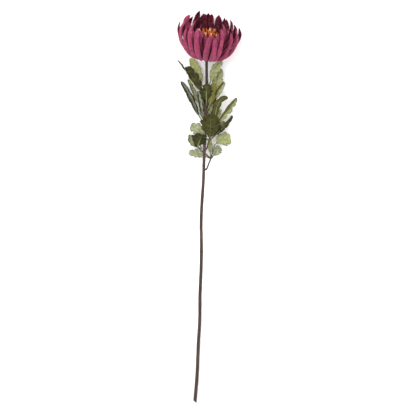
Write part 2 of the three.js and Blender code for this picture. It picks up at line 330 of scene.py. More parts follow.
class Bloom:
    """The bloom's own frame: its base, its axis, and the directions of azimuth 0 and 90."""

    def __init__(self):
        calyx, _ = corner_points("calyx")
        heart, _ = corner_points("disc_florets")
        self.axis = unit(heart.mean(axis=0) - calyx.mean(axis=0))
        heights = calyx @ self.axis
        self.calyx_low = heights.min()
        self.cup = CALYX_DEPTH
        middle = calyx.mean(axis=0)
        self.foot = middle + self.axis * (self.calyx_low - middle @ self.axis)
        self.right = unit(np.cross(self.axis, UP))
        self.down = np.cross(self.axis, self.right)
        spread = heart - self.foot
        self.heart_low = (spread @ self.axis).min()
        self.heart_high = (spread @ self.axis).max()
        radial = spread - np.outer(spread @ self.axis, self.axis)
        self.heart_radius = np.linalg.norm(radial, axis=1).max()

    def point(self, azimuth, distance, height):
        angle = np.radians(azimuth)
        return (self.foot + self.axis * height
                + distance * (self.right * math.cos(angle) + self.down * math.sin(angle)))

    def away(self, point):
        """The direction from the bloom's opening out through point."""
        from_foot = point - self.foot
        radial = from_foot - self.axis * (from_foot @ self.axis)
        return radial - self.axis * np.linalg.norm(radial) * 0.4

    def matrix(self):
        columns = [*zip(self.right, self.down, self.axis, self.foot)]
        return Matrix([list(row) for row in columns] + [[0, 0, 0, 1]])


bloom = Bloom()


# ---- making meshes ----

def new_piece(name, mesh, material):
    piece = bpy.data.objects.new(name, mesh)
    bpy.context.scene.collection.objects.link(piece)
    mesh.materials.clear()
    mesh.materials.append(material)
    mesh.shade_smooth()
    return piece


def keep(piece, slot, *nodes):
    """Fixes a finished piece to the flower, in place of its CAD nodes."""
    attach(piece, BODY)
    if nodes:
        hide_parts(*nodes)


def shell(front, back, front_values, back_values):
    """A closed thin body between two grids of points, as points, faces and point values."""
    rows, columns = front.shape[:2]
    points = np.vstack([front.reshape(-1, 3), back.reshape(-1, 3)])
    values = {key: np.concatenate([front_values[key].ravel(), back_values[key].ravel()])
              for key in front_values}
    offset = rows * columns
    faces = []
    for r in range(rows - 1):
        for c in range(columns - 1):
            a = r * columns + c
            quad = (a, a + 1, a + columns + 1, a + columns)
            faces.append(quad)
            faces.append(tuple(offset + i for i in reversed(quad)))
    border = ([c for c in range(columns)]
              + [r * columns + columns - 1 for r in range(1, rows)]
              + [(rows - 1) * columns + c for c in range(columns - 2, -1, -1)]
              + [r * columns for r in range(rows - 2, 0, -1)])
    for a, b in zip(border, border[1:] + border[:1]):
        faces.append((b, a, offset + a, offset + b))
    return points, faces, values


def ring_body(rings, first, last):
    """A closed body through rings of points, with a corner in the middle of each end."""
    rows, sides = rings.shape[:2]
    top = (rows - 1) * sides
    faces = []
    for c in range(sides):
        d = (c + 1) % sides
        faces += [(r * sides + c, r * sides + d, (r + 1) * sides + d, (r + 1) * sides + c)
                  for r in range(rows - 1)]
        faces += [(rows * sides, d, c), (rows * sides + 1, top + c, top + d)]
    return np.vstack([rings.reshape(-1, 3), first, last]), faces


def round_angles(sides):
    return np.linspace(0, 2 * math.pi, sides, endpoint=False)


def tube(centres, across, outward, radius, sides, values):
    """A closed tube with pointed ends, as points, faces and point values."""
    angles = round_angles(sides)
    ring = (across[:, None] * (radius[:, None] * np.cos(angles))[..., None]
            + outward[:, None] * (radius[:, None] * np.sin(angles))[..., None])
    points, faces = ring_body(centres[:, None] + ring, centres[0], centres[-1])
    carried = {key: np.concatenate([np.repeat(value, sides), value[[0, -1]]])
               for key, value in values.items()}
    return points, faces, carried


def volume(points, faces):
    """Signed volume of a closed body: positive where its faces point outwards."""
    total = 0.0
    for face in faces:
        a = points[face[0]]
        for i in range(1, len(face) - 1):
            total += a @ np.cross(points[face[i]], points[face[i + 1]])
    return total / 6


def pressed(bodies):
    """The bodies with what would sink into the surface pressed flat on top of it."""
    for points, _, _ in bodies:
        low = points[:, 2] < PRESS_HEIGHT
        points[low, 2] = PRESS_HEIGHT * np.exp(points[low, 2] / PRESS_HEIGHT - 1)
    return bodies


def mesh_of(name, bodies):
    """One mesh of several closed bodies, with faces outwards and values as attributes."""
    points, faces, values, start = [], [], {}, 0
    for body_points, body_faces, body_values in bodies:
        if volume(body_points, body_faces) < 0:
            body_faces = [tuple(reversed(face)) for face in body_faces]
        points.append(body_points)
        faces += [tuple(start + i for i in face) for face in body_faces]
        for key, value in body_values.items():
            values.setdefault(key, []).append(value)
        start += len(body_points)
    mesh = bpy.data.meshes.new(name)
    mesh.from_pydata(np.vstack(points).tolist(), [], faces)
    for key, parts in values.items():
        attribute = mesh.attributes.new(key, "FLOAT", "POINT")
        attribute.data.foreach_set("value", np.concatenate(parts).astype(np.float32))
    mesh.update()
    return mesh


# ---- materials ----

def object_noise(tree, size, detail=3.0, stretch=(1, 1, 1)):
    """Noise whose grains are size millimetres across, stretched along each axis."""
    coordinate = add(tree, "ShaderNodeTexCoord").outputs["Object"]
    mapping = add(tree, "ShaderNodeMapping", {"Vector": coordinate, "Scale": stretch})
    return add(tree, "ShaderNodeTexNoise",
               {"Vector": mapping.outputs["Vector"], "Scale": 1 / (size * MM),
                "Detail": detail}).outputs["Fac"]


def petal_material(settings):
    """Velvety living petal: tiny upright cells give a soft sheen and no gloss."""
    material, tree = new_material("Velvet petal skin")
    across, along, tone, inside = (
        add(tree, "ShaderNodeAttribute", attribute_name=name).outputs["Fac"]
        for name in ("across", "along", "tone", "inside"))
    # Fine veins that run from foot to tip, about seven across the petal.
    strip = add(tree, "ShaderNodeCombineXYZ", {"X": across, "Y": along, "Z": tone})
    stretched = add(tree, "ShaderNodeMapping",
                    {"Vector": strip.outputs["Vector"], "Scale": (7, 60, 1)})
    veins = add(tree, "ShaderNodeTexNoise",
                {"Vector": stretched.outputs["Vector"], "Scale": 1.0, "Detail": 2.0}
                ).outputs["Fac"]
    # Cell patches 2 mm across, drawn coarser than the real 0.1 mm so that they show.
    speckle = object_noise(tree, 2, 2.0)
    outer = paint(tree, settings.outside_deep, (veins, 0.34, 0.62, 1.0, settings.outside),
                  (speckle, 0.5, 0.34, 0.55, settings.outside_deep),
                  (object_noise(tree, 9), 0.45, 0.75, 0.35, "#B85878"),
                  (tone, 1.0, 0.0, 0.35, settings.outside_deep))
    # The inside: wine veins over near black, with crimson patches that are painted highlights.
    inner = paint(tree, settings.inside_deep, (veins, 0.35, 0.7, 1.0, settings.inside),
                  (object_noise(tree, 4, 2.0, (1, 0.4, 1)), 0.5, 0.68, 0.6, "#8E1834"),
                  (along, 0.75, 1.0, 0.3, "#8A2340"))
    colour = add(tree, "ShaderNodeMix", {0: inside, 6: outer, 7: inner},
                 data_type="RGBA").outputs[2]
    relief = add(tree, "ShaderNodeMath", {0: veins, 1: speckle}, operation="ADD").outputs[0]
    finish(tree, colour, relief, 0.35, 0.4,
           {"Roughness": 0.72, "Specular IOR Level": 0.25, "Sheen Weight": 0.22,
            "Sheen Roughness": 0.45, "Sheen Tint": rgba("#E9A9C4")})
    return material


def leaf_material(settings):
    """Downy lobed leaf: olive above, pale underneath, matt on both sides, with a painted blue-grey
    sheen on some undersides.
    """
    material, tree = new_material("Chrysanthemum leaf")
    vein, tone, inside, margin = (
        add(tree, "ShaderNodeAttribute", attribute_name=name).outputs["Fac"]
        for name in ("vein", "tone", "inside", "margin"))
    blotch = object_noise(tree, 6)
    # The finest net of veins, about 1.6 mm between lines.
    coordinate = add(tree, "ShaderNodeTexCoord").outputs["Object"]
    lines = add(tree, "ShaderNodeTexVoronoi", {"Vector": coordinate, "Scale": 1 / (1.6 * MM)},
                feature="DISTANCE_TO_EDGE").outputs["Distance"]
    net = add(tree, "ShaderNodeMapRange",
              {"Value": lines, "From Max": 0.12, "To Min": 1.0, "To Max": 0.0},
              interpolation_type="SMOOTHSTEP").outputs["Result"]
    top = paint(tree, settings.top, (blotch, 0.35, 0.7, 1.0, settings.top_light),
                (tone, 0.0, 1.0, 0.75, "#737030"), (vein, 0.3, 1.0, 0.45, "#5A5630"))
    # A tone below 0 paints a blue-grey sheen on the underside, a painted reflection of the sky.
    under = paint(tree, settings.under_deep, (blotch, 0.3, 0.75, 1.0, settings.under),
                  (tone, 0.0, 1.0, 0.6, "#B7BA72"), (tone, 0.0, -1.0, 0.9, "#84928A"),
                  (vein, 0.3, 1.0, 0.6, "#828860"), (net, 0.0, 1.0, 0.25, "#808860"))
    both = add(tree, "ShaderNodeMix", {0: inside, 6: top, 7: under}, data_type="RGBA").outputs[2]
    colour = paint(tree, both, (margin, 0.72, 1.0, 0.8, settings.margin))
    relief = add(tree, "ShaderNodeMath", {0: net, 1: blotch}, operation="ADD").outputs[0]
    finish(tree, colour, relief, 0.3, 0.3,
           {"Roughness": 0.6, "Specular IOR Level": 0.14})
    return material


def stem_material(settings):
    """Half-woody stem skin: dry, matt, streaked by fibres that run along it."""
    material, tree = new_material("Fibrous stem skin")
    fibre = object_noise(tree, 0.8, 4.0, (1, 0.06, 1))
    patch = object_noise(tree, 14, 2.0, (1, 0.4, 1))
    colour = paint(tree, settings.streak, (fibre, 0.38, 0.62, 1.0, settings.skin),
                   (patch, 0.5, 0.75, 0.4, "#735C50"))
    for name, over in (("blush", settings.blush), ("shade", "#352420"), ("pith", settings.pith)):
        value = add(tree, "ShaderNodeAttribute", attribute_name=name).outputs["Fac"]
        colour = add(tree, "ShaderNodeMix", {0: value, 6: rgba(colour), 7: rgba(over)},
                     data_type="RGBA").outputs[2]
    finish(tree, colour, fibre, 0.5, 0.3, {"Roughness": 0.78, "Specular IOR Level": 0.3})
    return material


def floret_material(settings):
    """Waxy disc floret: red brown foot, orange tube, and a cream painted highlight on the tips of
    some.
    """
    material, tree = new_material("Waxy disc floret")
    along, tone = (
        add(tree, "ShaderNodeAttribute", attribute_name=name).outputs["Fac"]
        for name in ("along", "tone"))
    ripe, cream_highlight = (
        add(tree, "ShaderNodeMapRange",
            {"Value": tone, "From Min": low, "From Max": high, "To Min": least},
            interpolation_type="SMOOTHSTEP").outputs["Result"]
        for low, high, least in ((0.1, 0.45, 0.1), (0.7, 0.85, 0.0)))
    # Some florets' tips take the cream as a painted highlight.
    colour = paint(tree, settings.umber, (along, 0.72, 0.95, ripe, settings.orange),
                   (along, 0.75, 0.95, cream_highlight, settings.cream))
    finish(tree, colour, object_noise(tree, 1), 0.3, 0.2,
           {"Roughness": 0.5, "Specular IOR Level": 0.4})
    return material


def bract_material(settings):
    """Downy green bract with a dry papery margin."""
    material, tree = new_material("Downy bract")
    blotch = object_noise(tree, 2.5)
    margin = add(tree, "ShaderNodeAttribute", attribute_name="margin").outputs["Fac"]
    colour = paint(tree, settings.bract, (blotch, 0.35, 0.7, 1.0, "#7E8450"),
                   (margin, 0.7, 1.0, 0.7, "#6A4A35"))
    finish(tree, colour, blotch, 0.4, 0.3,
           {"Roughness": 0.7})
    return material


def floor_material(settings):
    """Plain painted board, matt and very pale."""
    material, tree = new_material("Matt painted board")
    grain = object_noise(tree, 30)
    colour = paint(tree, settings.floor, (grain, 0.3, 0.7, 0.3, "#FFFFFF"))
    surface = add(tree, "ShaderNodeBsdfPrincipled",
                  {"Base Color": colour, "Roughness": 0.9, "Specular IOR Level": 0.1})
    add(tree, "ShaderNodeOutputMaterial", {"Surface": surface.outputs["BSDF"]})
    return material


# ---- petals ----

PETAL_ROWS = 48
PETAL_COLUMNS = 17
PETAL_SIDES = 6

# Half widths from foot to tip, and the half angle that the petal is rolled through.
PETAL_STATIONS = [0, 0.12, 0.3, 0.5, 0.7, 0.86, 1]
PETAL_WIDTHS = [0.4, 0.74, 1.08, 1.0, 0.96, 1.06, 0.92]
PETAL_ROLLS = [2.5, 2.3, 2.1, 1.95, 1.7, 1.45, 1.15]

# Petals that turn or spread more than the rest: twist in degrees and share of full width.
PETAL_HABITS = {
    "outer_petal_01": (-35, 1.0), "outer_petal_02": (-10, 1.35), "outer_petal_03": (20, 1.0),
    "outer_petal_04": (15, 1.25), "outer_petal_05": (-30, 0.95), "outer_petal_06": (0, 1.35),
    "outer_petal_07": (12, 1.0), "outer_petal_08": (-15, 1.2), "outer_petal_09": (-115, 1.05),
    "outer_petal_17": (-35, 1.05), "middle_petal_03": (0, 1.35), "middle_petal_04": (10, 1.3),
    "middle_petal_06": (45, 1.2), "middle_petal_09": (-40, 1.15),
}


def petal_body(spine, wall, seed, habit=None):
    """A quilled petal: rolled round its length at the foot, open and hooded at the tip."""
    pick = random.Random(seed)
    tone = pick.random()
    twist, broad = habit or (pick.uniform(-24, 24), pick.uniform(0.95, 1.1))
    wave, sway, hook = pick.uniform(0, 6.28), pick.uniform(-1, 1), pick.uniform(0.6, 1.4)
    u = 1 - (1 - np.linspace(0, 1, PETAL_ROWS)) ** 1.3
    centre, across, tangent, outward = spine.at(u)
    bend = np.clip((u - 0.7) / 0.3, 0, 1) ** 2
    centre = (centre - outward * (spine.length * 0.05 * hook * bend)[:, None]
              + across * (spine.length * 0.025 * sway * np.sin(u * math.pi))[:, None])
    turn = (math.radians(twist) * u ** 1.5)[:, None]
    across, outward = (across * np.cos(turn) + outward * np.sin(turn),
                       outward * np.cos(turn) - across * np.sin(turn))
    taper, point = pick.uniform(0.1, 0.26), pick.uniform(0.5, 0.85)
    tip = np.clip((u - 1 + taper) / taper, 0, 1)
    width = (spine.half_width.max() * broad * np.interp(u, PETAL_STATIONS, PETAL_WIDTHS)
             * np.clip(1 - tip ** 2, 0.01, 1) ** point * (1 + 0.1 * np.sin(u * 12 + wave)))
    roll = np.interp(u, PETAL_STATIONS, PETAL_ROLLS) * pick.uniform(0.9, 1.08)
    reach = np.where(roll > math.pi / 2, 1.0, np.sin(np.minimum(roll, math.pi / 2)))
    depth = width * np.interp(u, [0, 0.5, 0.85, 1], [0.8, 0.72, 0.62, 0.5])
    t = np.linspace(-1, 1, PETAL_COLUMNS)
    angle = roll[:, None] * t[None]
    side = np.sin(angle) / reach[:, None]
    crease = 0.3 * (1 - np.abs(t)) ** 3 + 0.07 * np.cos(3 * math.pi * t)
    rumple = 0.1 * np.sin(19 * u[:, None] + 5 * t[None] + wave) * np.sin(7 * u + 2 * wave)[:, None]

    def surface(inset):
        x = (width - inset)[:, None] * side
        lift = (depth[:, None] * (0.85 + crease[None] + np.cos(angle) - 1 + rumple)
                - inset[:, None] * np.cos(angle))
        return centre[:, None] + across[:, None] * x[..., None] + outward[:, None] * lift[..., None]

    thin = np.minimum(wall * np.interp(u, [0, 0.9, 1], [1, 0.8, 0.3]), width * 0.4)
    along = np.repeat(u[:, None], PETAL_COLUMNS, axis=1)
    over = np.repeat(t[None], PETAL_ROWS, axis=0)
    shared = {"across": over, "along": along, "tone": np.full_like(over, tone)}
    front = dict(shared, inside=np.clip((np.abs(over) - 0.86) * 3, 0, 1))
    back = dict(shared, inside=np.ones_like(over))
    return shell(surface(np.zeros(PETAL_ROWS)), surface(thin), front, back)


# Petals beyond the number that the solid model holds, by ring: the ring's middle line as
# (distance from the axis, height) in millimetres, its half width, and for each petal its
# azimuth, tip height, tip distance and sideways lean.
EXTRA_RINGS = {
    "petals_outer_fill": (
        [(10.6, 3.5), (24, 5.5), (35, 14), (44, 27), (49, 41)], 4.9,
        [(16, 57, 55, 0), (34, 64, 51, 0), (51, 68, 51, 0), (70, 69, 52, 2), (89, 70, 52, 2),
         (109, 71, 52, 0), (130, 69, 50, 0), (150, 66, 51, 0), (169, 64, 54, 0),
         (188, 62, 56, 0), (206, 61, 55, 0), (225, 58, 50, 2), (333, 57, 49, 0),
         (355, 59, 55, 0)]),
    "petals_middle_fill": (
        [(10.2, 13), (19, 17), (28, 26), (33, 38), (36, 51)], 4.4,
        [(30, 64, 40, -3), (70, 71, 40, 4), (112, 73, 41, -2), (150, 69, 38, 3),
         (190, 66, 40, -4), (226, 60, 38, 2), (262, 51, 36, -3), (296, 53, 37, 3),
         (335, 62, 39, 2)]),
    "petals_inner_fill": (
        [(8.6, 17), (13.5, 26), (17.5, 37), (19.5, 48)], 3.4,
        [(8, 54, 22, 3), (52, 61, 22, -4), (78, 64, 24, 3), (124, 64, 24, -3), (148, 61, 22, 4),
         (196, 53, 21, -3), (218, 47, 22, 3), (262, 45, 22, -2), (284, 45, 22, 3),
         (330, 50, 21, -3)]),
}


def extra_spine(line, half_width, azimuth, tip_height, tip_distance, lean):
    """The middle line of a petal that the solid model doesn't hold."""
    foot = line[0][1]
    grow = (tip_height - foot) / (line[-1][1] + 12 - foot)
    spots = []
    for i, (distance, height) in enumerate(line):
        share = i / len(line)
        spread = (tip_distance - line[-1][0]) * share ** 3
        spots.append(bloom.point(azimuth + lean * share ** 2, (distance + spread) * MM,
                                 (bloom.cup + foot + (height - foot) * grow) * MM))
    spots.append(bloom.point(azimuth + lean, tip_distance * MM, (bloom.cup + tip_height) * MM))
    around = bloom.point(azimuth + 90, 1, 0) - bloom.foot
    width = half_width * MM
    count = len(spots)
    return Spine(np.array(spots), np.repeat(around[None], count, axis=0),
                 np.full(count, width)).turned(bloom.away)


class FLOWER_OT_petals(bpy.types.Operator):
    """Draws the quilled petals of the bloom"""

    bl_idname = "flower.petals"
    bl_label = "Petals"

    def execute(self, context):
        settings = context.scene.flower_petals
        material = petal_material(settings)
        slots = {"outer": "petal_outer_mauve", "middle": "petal_middle_wine",
                 "inner": "petal_inner_wine"}
        nodes = sorted(n for n in frame["nodes"] if "_petal_" in n)
        if not nodes:
            raise RuntimeError("the solid model has no petals")
        for seed, node in enumerate(nodes):
            spine = Spine.from_node(node, PETAL_SIDES, bloom.foot, bloom.away)
            body = petal_body(spine, settings.wall, seed, PETAL_HABITS.get(node))
            piece = new_piece(node + "_skin", mesh_of(node + "_skin", pressed([body])), material)
            keep(piece, slots[node.split("_")[0]], node)
        for name, (line, half_width, petals) in EXTRA_RINGS.items():
            bodies = [petal_body(extra_spine(line, half_width, *shape), settings.wall * 0.8,
                                 100 * len(name) + i) for i, shape in enumerate(petals)]
            piece = new_piece(name, mesh_of(name, pressed(bodies)), material)
            keep(piece, "petal_inner_wine")
        return {"FINISHED"}


# ---- leaves ----

LEAF_SIDES = 8
LEAF_ROWS = 72
LEAF_COLUMNS = 11  # on each side of the midrib
STALK_SHARE = 0.2
STALK_ROOT = 2.5 * MM  # how far a stalk runs on into the stem or the shoot it grows from
LOBE_PITCH = 0.31
VEIN_SHEAR = 0.5

# How each leaf lies: whether its underside faces up, its tone from deep (0) to yellow
# green (1), with a tone below 0 painting a blue-grey sheen of reflected light on the
# underside, the depth of its lobes and its breadth, then the fold and the curl of its left
# half and of its right half, in radians upwards.
LEAF_LOOKS = {
    "leaf_01": (False, 0.0, 0.25, 1.0, 0.2, 0.5, 0.2, 0.5),
    "leaf_02": (True, 0.8, 0.3, 1.05, 0.1, 0.9, 0.1, 0.0),
    "leaf_03": (False, 0.1, 0.3, 1.1, 0.2, 2.5, -0.1, -0.4),
    "leaf_04": (True, 0.0, 0.25, 1.2, 0.3, 0.8, 0.3, 2.8),
    "leaf_05": (True, -0.7, 0.3, 1.55, 0.1, 3.2, 0.1, 2.9),
    "leaf_06": (True, -0.5, 0.25, 1.4, 0.2, 3.1, 0.2, 1.2),
    "leaf_07": (False, 0.1, 0.4, 1.1, -0.1, -0.7, -0.1, -0.5),
    "leaf_08": (True, 0.3, 0.3, 1.1, 0.5, 1.3, -0.5, -0.4),
    "leaf_09": (True, 0.35, 0.3, 1.05, 0.0, 0.3, 0.0, 0.3),
    "leaf_10": (True, 0.3, 0.15, 1.35, 0.2, 3.1, 0.1, 0.9),
    "leaf_11": (False, 0.9, 0.3, 1.1, 0.1, -0.3, 0.1, -0.3),
    "leaf_12": (True, 0.1, 0.3, 1.0, 0.2, 0.2, 0.4, 2.4),
    "leaf_13": (False, 0.3, 0.3, 1.15, 0.3, -0.8, 0.2, -1.3),
    "leaf_14": (True, 0.5, 0.35, 1.35, 0.3, 3.1, 0.3, 0.5),
    "leaf_15": (True, -0.35, 0.4, 1.1, 0.0, 0.9, 0.0, 0.3),
    "leaf_16": (False, 0.2, 0.3, 1.0, 0.5, 0.3, 0.5, 0.3),
    "leaf_17": (False, 0.15, 0.2, 1.25, -0.15, -0.5, -0.1, -0.7),
    "leaf_18": (True, -0.25, 0.45, 1.1, 0.0, 0.2, 0.0, 0.9),
    "leaf_19": (False, 0.0, 0.25, 1.2, -0.1, -0.6, -0.2, -0.6),
    "leaf_20": (True, 0.3, 0.4, 1.1, 0.1, 1.6, 0.0, 0.0),
    "leaf_21": (True, -0.3, 0.45, 1.1, 0.1, 0.0, 0.1, 0.0),
    "leaf_22": (True, 0.5, 0.35, 1.1, 0.1, 0.2, 0.1, 1.2),
}


# Leaves whose midrib has turned woody and brown.
WOODY_MIDRIBS = ("leaf_17", "leaf_03")

# Small leaves in the angles between stalk and stem, beyond the number that the solid
# model holds: height above the cut end, distance to the right of the stem's middle and
# height over the surface of the foot in millimetres, the way it points in degrees
# clockwise from straight up the stem, its climb in millimetres, length and half width,
# and how it lies, as above.
AXIL_LEAVES = (
    (547, -5, 9, -14, 5, 25, 4.6, (True, -0.8, 0.3, 1.0, 0.1, 1.2, 0.1, 0.3)),
    (551, -3, 7, -4, 4, 42, 8.5, (False, 0.0, 0.25, 1.0, 0.1, -0.3, 0.1, -0.3)),
    (556, 5, 8, 12, 4, 36, 7.5, (False, 0.2, 0.3, 1.0, 0.1, -0.3, 0.1, -0.3)),
    (545, 5, 12, 28, 5, 22, 4.2, (True, -0.5, 0.3, 1.0, 0.1, 0.4, 0.1, 0.9)),
    (543, 16, 11, 22, 6, 30, 6.0, (True, 0.5, 0.3, 1.0, 0.1, 0.4, 0.1, 0.3)),
    (575, -4, 13, -16, 5, 32, 6.5, (False, 0.1, 0.3, 1.0, 0.1, -0.3, 0.1, -0.3)),
    (580, 5, 10, 16, 5, 34, 7.5, (False, 0.6, 0.3, 1.0, 0.1, -0.3, 0.1, -0.3)),
    (477, 12.5, 9, -3, 4, 37, 4.8, (True, 0.6, 0.3, 1.0, 0.1, 0.3, 0.1, 0.3)),
    (511, 12, 20, 30, 6, 33, 9.5, (False, 0.1, 0.3, 1.0, 0.1, -0.3, 0.1, -0.5)),
    (494, -6, 6, -24, 4, 20, 4.6, (True, 0.0, 0.3, 1.0, 0.1, 0.3, 0.1, 0.3)),
    (522, 14, 7, 48, 6, 34, 8.0, (True, 0.4, 0.4, 1.0, 0.1, 0.3, 0.1, 0.8)),
)


def axil_spine(stem, height, aside, lift, lean, climb, length, half_width):
    """The middle line of a small leaf that starts at the stem, in metres."""
    lean = math.radians(lean)
    way = np.array([math.sin(lean), math.cos(lean), 0])
    foot_y = CAD_BOX[0][1] + height * MM
    middle = stem.points[np.argmin(np.abs(stem.points[:, 1] - foot_y))]
    foot = np.array([middle[0] + aside * MM, foot_y, lift * MM])
    shares = np.linspace(0, 1, 5)
    spots = [foot + (way * length * share + UP * climb * math.sin(share * 2)) * MM
             for share in shares]
    around = np.cross(way, UP)
    width = half_width * MM * np.interp(shares, [0, 0.5, 1], [0.6, 1, 0.5])
    return Spine(np.array(spots), np.repeat(around[None], len(spots), axis=0),
                 width).turned(lambda point: UP)


def leaf_half(spine, seed, hand, full, depth, fold, curl):
    """Half a blade as a grid from midrib to edge, with its veins and outward directions."""
    pick = random.Random(seed)
    s = 1 - (1 - np.linspace(0, 1, LEAF_ROWS)) ** 1.2
    t = np.linspace(0, 1, LEAF_COLUMNS)
    blade = spine.length * (1 - STALK_SHARE)
    start = 0.03 + pick.uniform(-0.03, 0.03)
    lobe = np.abs(np.sin(math.pi * (s - start) / LOBE_PITCH)) ** 0.75
    tip = np.clip((s - 0.86) / 0.14, 0, 1)
    envelope = (np.interp(s, [0, 0.05, 0.2, 0.45, 0.7, 0.88], [0.08, 0.4, 0.9, 1.1, 0.92, 0.66])
                * np.sqrt(np.clip(1 - tip ** 2, 0.002, 1)))
    steady = np.clip((s - 0.8) / 0.1, 0, 1)
    width = full * envelope * (1 - depth * (1 - lobe) * (1 - steady))
    width *= 1 + 0.035 * np.sin(s * 62 + pick.uniform(0, 6))
    angle = fold + curl * t ** 1.5
    step = np.diff(t)
    x = np.concatenate([[0], np.cumsum(step * np.cos((angle[1:] + angle[:-1]) / 2))])
    z = np.concatenate([[0], np.cumsum(step * np.sin((angle[1:] + angle[:-1]) / 2))])
    phase = pick.uniform(0, 6.28)
    ruffle = 0.12 * np.sin(s * 2 * math.pi / LOBE_PITCH + phase)[:, None] * t[None] ** 1.5
    over = width[:, None] * x[None] * hand
    rumple = 0.05 * np.sin(s * 41 + phase)[:, None] * np.sin(t * 7 + phase)[None]
    lift = width[:, None] * (z[None] + ruffle + rumple * t[None])
    shear = min(VEIN_SHEAR, 0.3 * blade / full)
    run = s[:, None] * blade + shear * np.abs(width[:, None] * t[None]) * (1 - s[:, None] ** 3)
    u = STALK_SHARE + (1 - STALK_SHARE) * np.clip(run / blade, 0, 1)
    centre, across, _, outward = spine.at(u)
    vein = np.maximum(np.exp(-(width[:, None] * t[None] / (0.7 * MM)) ** 2),
                      (lobe ** 24)[:, None] * (1 - 0.6 * t[None]) * (s < 0.85)[:, None])
    angle = np.repeat((angle * hand)[None], LEAF_ROWS, axis=0)[..., None]
    facing = outward * np.cos(angle) - across * np.sin(angle)
    return centre + across * over[..., None] + outward * lift[..., None], facing, vein, s, t


def leaf_bodies(spine, settings, look, seed, woody=False):
    """A lobed blade drawn along its side veins, and the stalk that runs on as its midrib."""
    underside_up, tone, depth, broad, *halves = look
    full = spine.half_width.max() * broad
    left, right = (leaf_half(spine, seed * 2 + i, hand, full, depth, *halves[2 * i:2 * i + 2])
                   for i, hand in enumerate((-1, 1)))
    grid, facing, vein = (np.concatenate([a[:, :0:-1], b], axis=1)
                          for a, b in zip(left[:3], right[:3]))
    s, t = right[3:]
    over = np.repeat(np.concatenate([-t[:0:-1], t])[None], LEAF_ROWS, axis=0)
    rows = np.repeat(s[:, None], over.shape[1], axis=1)
    relief = (settings.vein_relief * vein * (1 if underside_up else -1))[..., None] * facing
    upper = grid + relief
    lower = grid - facing * settings.thickness + relief
    edge = np.maximum(np.abs(over) ** 1.5, np.clip((rows - 0.93) * 14, 0, 1))
    shared = {"across": over, "along": rows, "vein": vein, "margin": edge,
              "tone": np.full_like(over, tone)}
    turned = float(underside_up)
    blade = shell(upper, lower, dict(shared, inside=np.full_like(over, turned)),
                  dict(shared, inside=np.full_like(over, 1 - turned)))
    s = np.linspace(0, 0.93, 34)
    centre, across, tangent, outward = spine.at(s)
    centre[0] -= tangent[0] * STALK_ROOT
    radius = np.interp(s, [0, STALK_SHARE, 0.6, 0.93], [1.15, 1.0, 0.6, 0.25]) * MM
    sink = np.interp(s, [0, STALK_SHARE, 0.4, 1], [0, 0.2, 0.35, 0.3]) * MM
    lift = sink * (1 if underside_up else -1) - settings.thickness * 0.5
    values = {"across": np.zeros_like(s), "along": s, "vein": np.ones_like(s),
              "margin": np.full_like(s, float(woody)), "tone": np.full_like(s, tone),
              "inside": np.interp(s, [0, 0.3], [0.3, 0.8])}
    stalk = tube(centre + outward * lift[:, None], across, outward, radius, 10, values)
    return [blade, stalk]


class FLOWER_OT_leaves(bpy.types.Operator):
    """Draws the lobed leaves"""

    bl_idname = "flower.leaves"
    bl_label = "Leaves"

    def execute(self, context):
        settings = context.scene.flower_leaves
        material = leaf_material(settings)
        stem_points = stem_spine().points
        slots = {part["node"]: part["material_slot"] for part in frame["record"]["subparts"]}
        for seed, (node, look) in enumerate(LEAF_LOOKS.items()):
            low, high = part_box(node)
            middle = (np.array(low) + np.array(high)) / 2
            nearest = stem_points[np.argmin(np.linalg.norm(stem_points - middle, axis=1))]
            nearest = nearest - np.array([0, 0.06, 0])
            spine = Spine.from_node(node, LEAF_SIDES, nearest, lambda point: UP)
            bodies = leaf_bodies(spine, settings, look, 40 + seed, node in WOODY_MIDRIBS)
            piece = new_piece(node + "_blade", mesh_of(node + "_blade", pressed(bodies)), material)
            keep(piece, slots[node], node)
        stem = stem_spine()
        bodies = []
        for seed, (*place, look) in enumerate(AXIL_LEAVES):
            bodies += leaf_bodies(axil_spine(stem, *place), settings, look, 80 + seed)
        piece = new_piece("axil_leaves", mesh_of("axil_leaves", pressed(bodies)), material)
        keep(piece, slots["leaf_17"])
        return {"FINISHED"}


# ---- stem, shoots and calyx ----

STEM_SIDES = 8
STEM_ROWS = 420
STEM_COLUMNS = 28

# The stem's knots: each one's share of the length and its swelling in millimetres.
KNOT_LENGTH = 3.2 * MM
KNOTS = ((0.285, 0.5), (0.33, 0.35), (0.44, 0.45), (0.6, 0.6), (0.69, 0.5), (0.735, 0.6),
         (0.8, 0.6), (0.87, 0.5), (0.9, 0.5), (0.93, 0.4))


def stem_spine():
    sections = cross_sections("stem", STEM_SIDES, np.array([0, -10, 0]))
    centres = np.array([section.mean(axis=0) for section in sections])
    radius = np.array([np.linalg.norm(s - s.mean(axis=0), axis=1).mean() for s in sections])
    radius[0], radius[-1] = radius[1], radius[-2]
    across = np.repeat(np.array([[1.0, 0, 0]]), len(centres), axis=0)
    return Spine(centres, across, radius)


